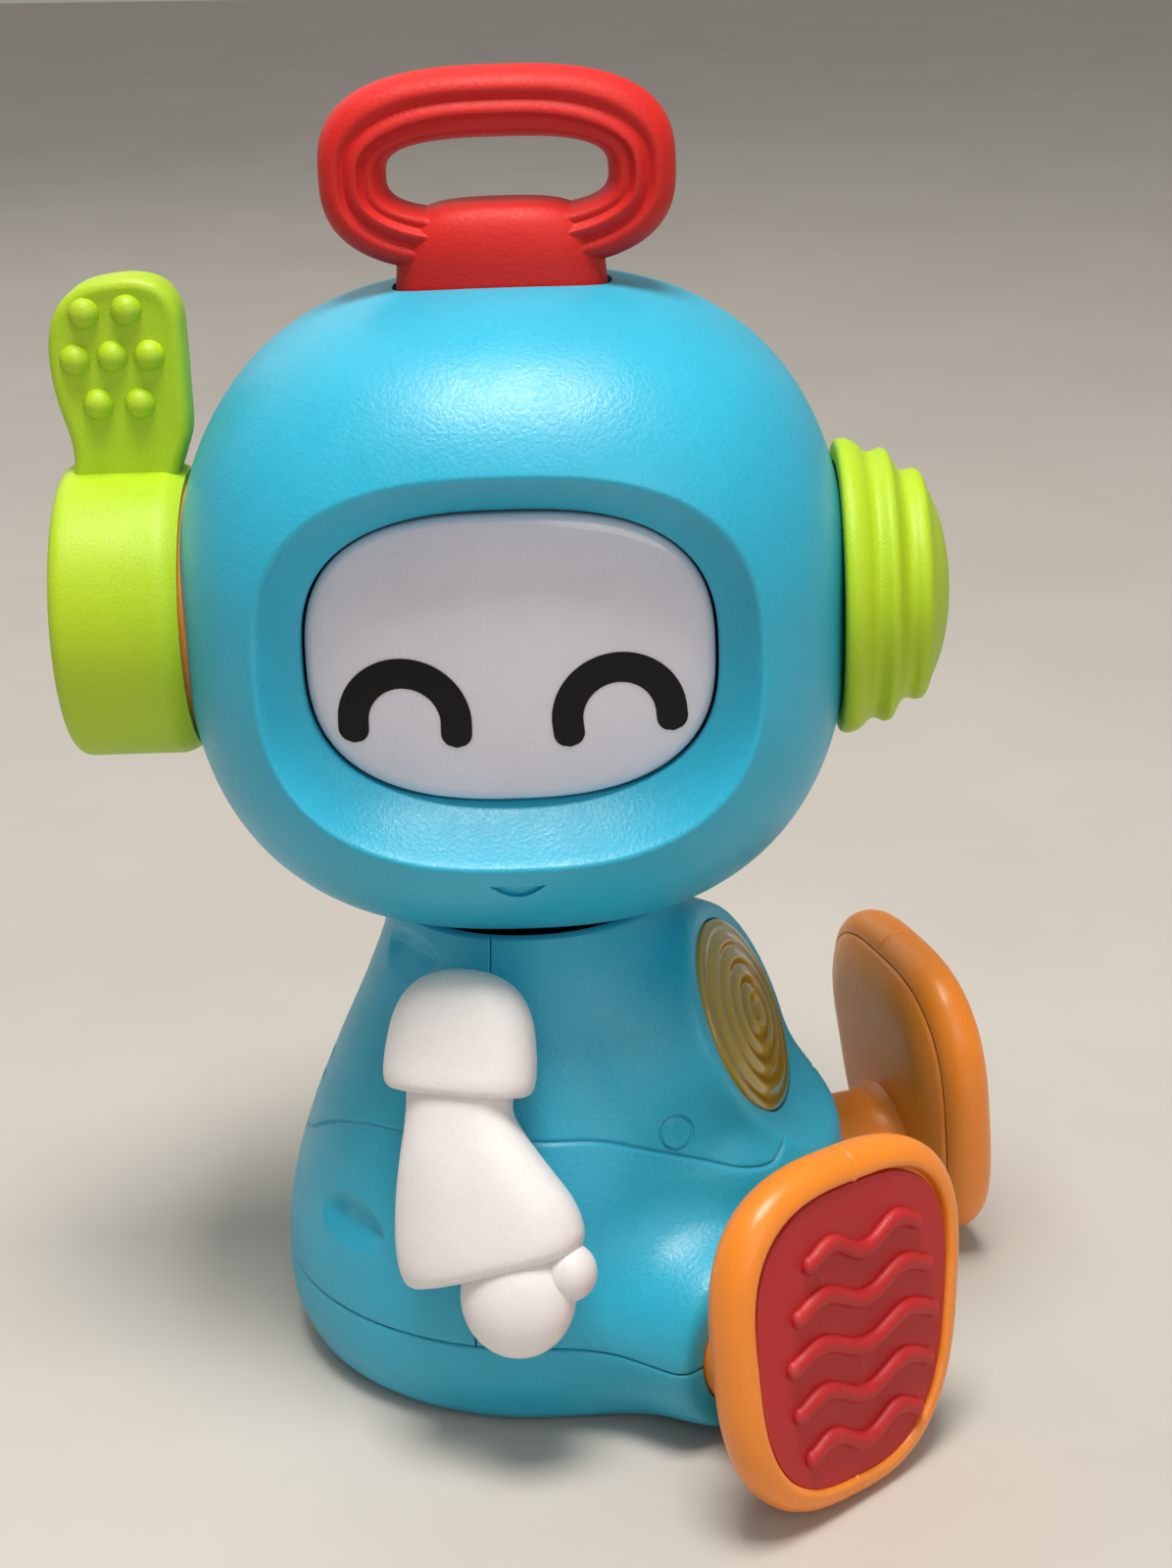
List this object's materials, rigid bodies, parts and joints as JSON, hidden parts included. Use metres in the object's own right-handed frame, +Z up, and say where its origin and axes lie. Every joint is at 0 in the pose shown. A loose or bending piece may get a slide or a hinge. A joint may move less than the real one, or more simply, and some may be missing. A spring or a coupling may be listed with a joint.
{
  "type": "toy robot",
  "caption": "Seated light-and-sound toy robot: swivelling domed head with face window, carry handle, paddle ear and ripple knob, press button chest, swinging arms, twisting legs.",
  "frame": {"origin": "on the underside of the base, below the neck's axis", "axes": "+Z up, the torso faces -Y, the robot's right hand is at -X; the head is stored turned to the robot's right"},
  "size_m": [0.15, 0.1689, 0.24],
  "materials": {
    "teal_shell": "satin moulded ABS",
    "red_grip": "soft matte elastomer",
    "red_sole": "soft matte elastomer",
    "lime_plastic": "fine textured plastic",
    "orange_plastic": "smooth plastic",
    "white_plastic": "satin plastic",
    "face_white": "glossy translucent white",
    "amber_lens": "glossy translucent amber",
    "black_plastic": "matte",
    "inner_plastic": "natural",
    "steel": "plated",
    "board_green": "solder mask",
    "led_white": "clear",
    "cell_wrap": "printed-free wrap"
  },
  "bodies": {
    "torso": {"torso_front_shell": "teal_shell", "torso_back_shell": "teal_shell", "base_shell": "teal_shell", "base_screws": "steel", "battery_door": "teal_shell", "battery_door_screw": "steel", "battery_cells": "cell_wrap", "battery_contacts": "steel", "main_board": "board_green", "board_parts": "black_plastic", "board_posts": "inner_plastic", "speaker": "black_plastic", "neck_bearing": "black_plastic", "button_bracket": "inner_plastic", "button_spring": "steel", "button_contact": "steel", "button_board": "board_green", "button_standoffs": "inner_plastic", "button_leds": "led_white"},
    "head": {"head_front_shell": "teal_shell", "head_back_shell": "teal_shell", "head_screws": "steel", "face_panel": "face_white", "face_board": "board_green", "face_leds": "led_white", "neck_tube": "black_plastic", "neck_keeper": "black_plastic", "handle": "red_grip", "handle_screws": "steel", "ear_collar": "orange_plastic", "click_springs": "steel"},
    "crank": {"ear_crank": "lime_plastic", "ear_axle": "steel", "ear_click_wheel": "inner_plastic"},
    "knob": {"ripple_knob": "lime_plastic", "knob_axle": "steel", "knob_click_wheel": "inner_plastic"},
    "arm_right": {"right_arm_outer": "white_plastic", "right_arm_inner": "white_plastic", "right_shoulder_axle": "steel"},
    "arm_left": {"left_arm_outer": "white_plastic", "left_arm_inner": "white_plastic", "left_shoulder_axle": "steel"},
    "leg_right": {"right_leg": "orange_plastic", "right_foot_rim": "orange_plastic", "right_sole": "red_sole", "right_leg_clip": "inner_plastic"},
    "leg_left": {"left_leg": "orange_plastic", "left_foot_rim": "orange_plastic", "left_sole": "red_sole", "left_leg_clip": "inner_plastic"},
    "button": {"chest_button_lens": "amber_lens", "button_plunger": "inner_plastic"},
    "switch": {"power_switch": "black_plastic"}
  },
  "joints": [
    {"name": "head_swivel", "type": "hinge", "parent": "torso", "child": "head", "pos_m": [0, 0, 0.09], "axis": [0, 0, 1], "range_deg": [-14, 166]},
    {"name": "ear_crank_spin", "type": "hinge", "parent": "head", "child": "crank", "pos_m": [0, 0, 0.1465], "axis": [-0.2436, 0.9699, 0], "continuous": true},
    {"name": "ripple_knob_spin", "type": "hinge", "parent": "head", "child": "knob", "pos_m": [0, 0, 0.1465], "axis": [0.2436, -0.9699, 0], "continuous": true},
    {"name": "right_shoulder", "type": "hinge", "parent": "torso", "child": "arm_right", "pos_m": [-0.0394, 0.002, 0.077], "axis": [-0.9272, 0, 0.3746], "range_deg": [-40, 75]},
    {"name": "left_shoulder", "type": "hinge", "parent": "torso", "child": "arm_left", "pos_m": [0.0394, 0.002, 0.077], "axis": [-0.9272, 0, -0.3746], "range_deg": [-40, 75]},
    {"name": "right_hip", "type": "hinge", "parent": "torso", "child": "leg_right", "pos_m": [-0.05076, -0.07107, 0.0185], "axis": [-0.5446, -0.8387, 0], "range_deg": [-60, 60]},
    {"name": "left_hip", "type": "hinge", "parent": "torso", "child": "leg_left", "pos_m": [0.05076, -0.07107, 0.0185], "axis": [0.5446, -0.8387, 0], "range_deg": [-60, 60]},
    {"name": "chest_button_press", "type": "slide", "parent": "torso", "child": "button", "axis": [0, 0.9178, -0.3971], "range_m": [0, 0.0025], "stiffness_N_per_m": 700, "springref_m": -0.001},
    {"name": "power_switch_slide", "type": "slide", "parent": "torso", "child": "switch", "axis": [1, 0, 0], "range_m": [0, 0.004]}
  ]
}
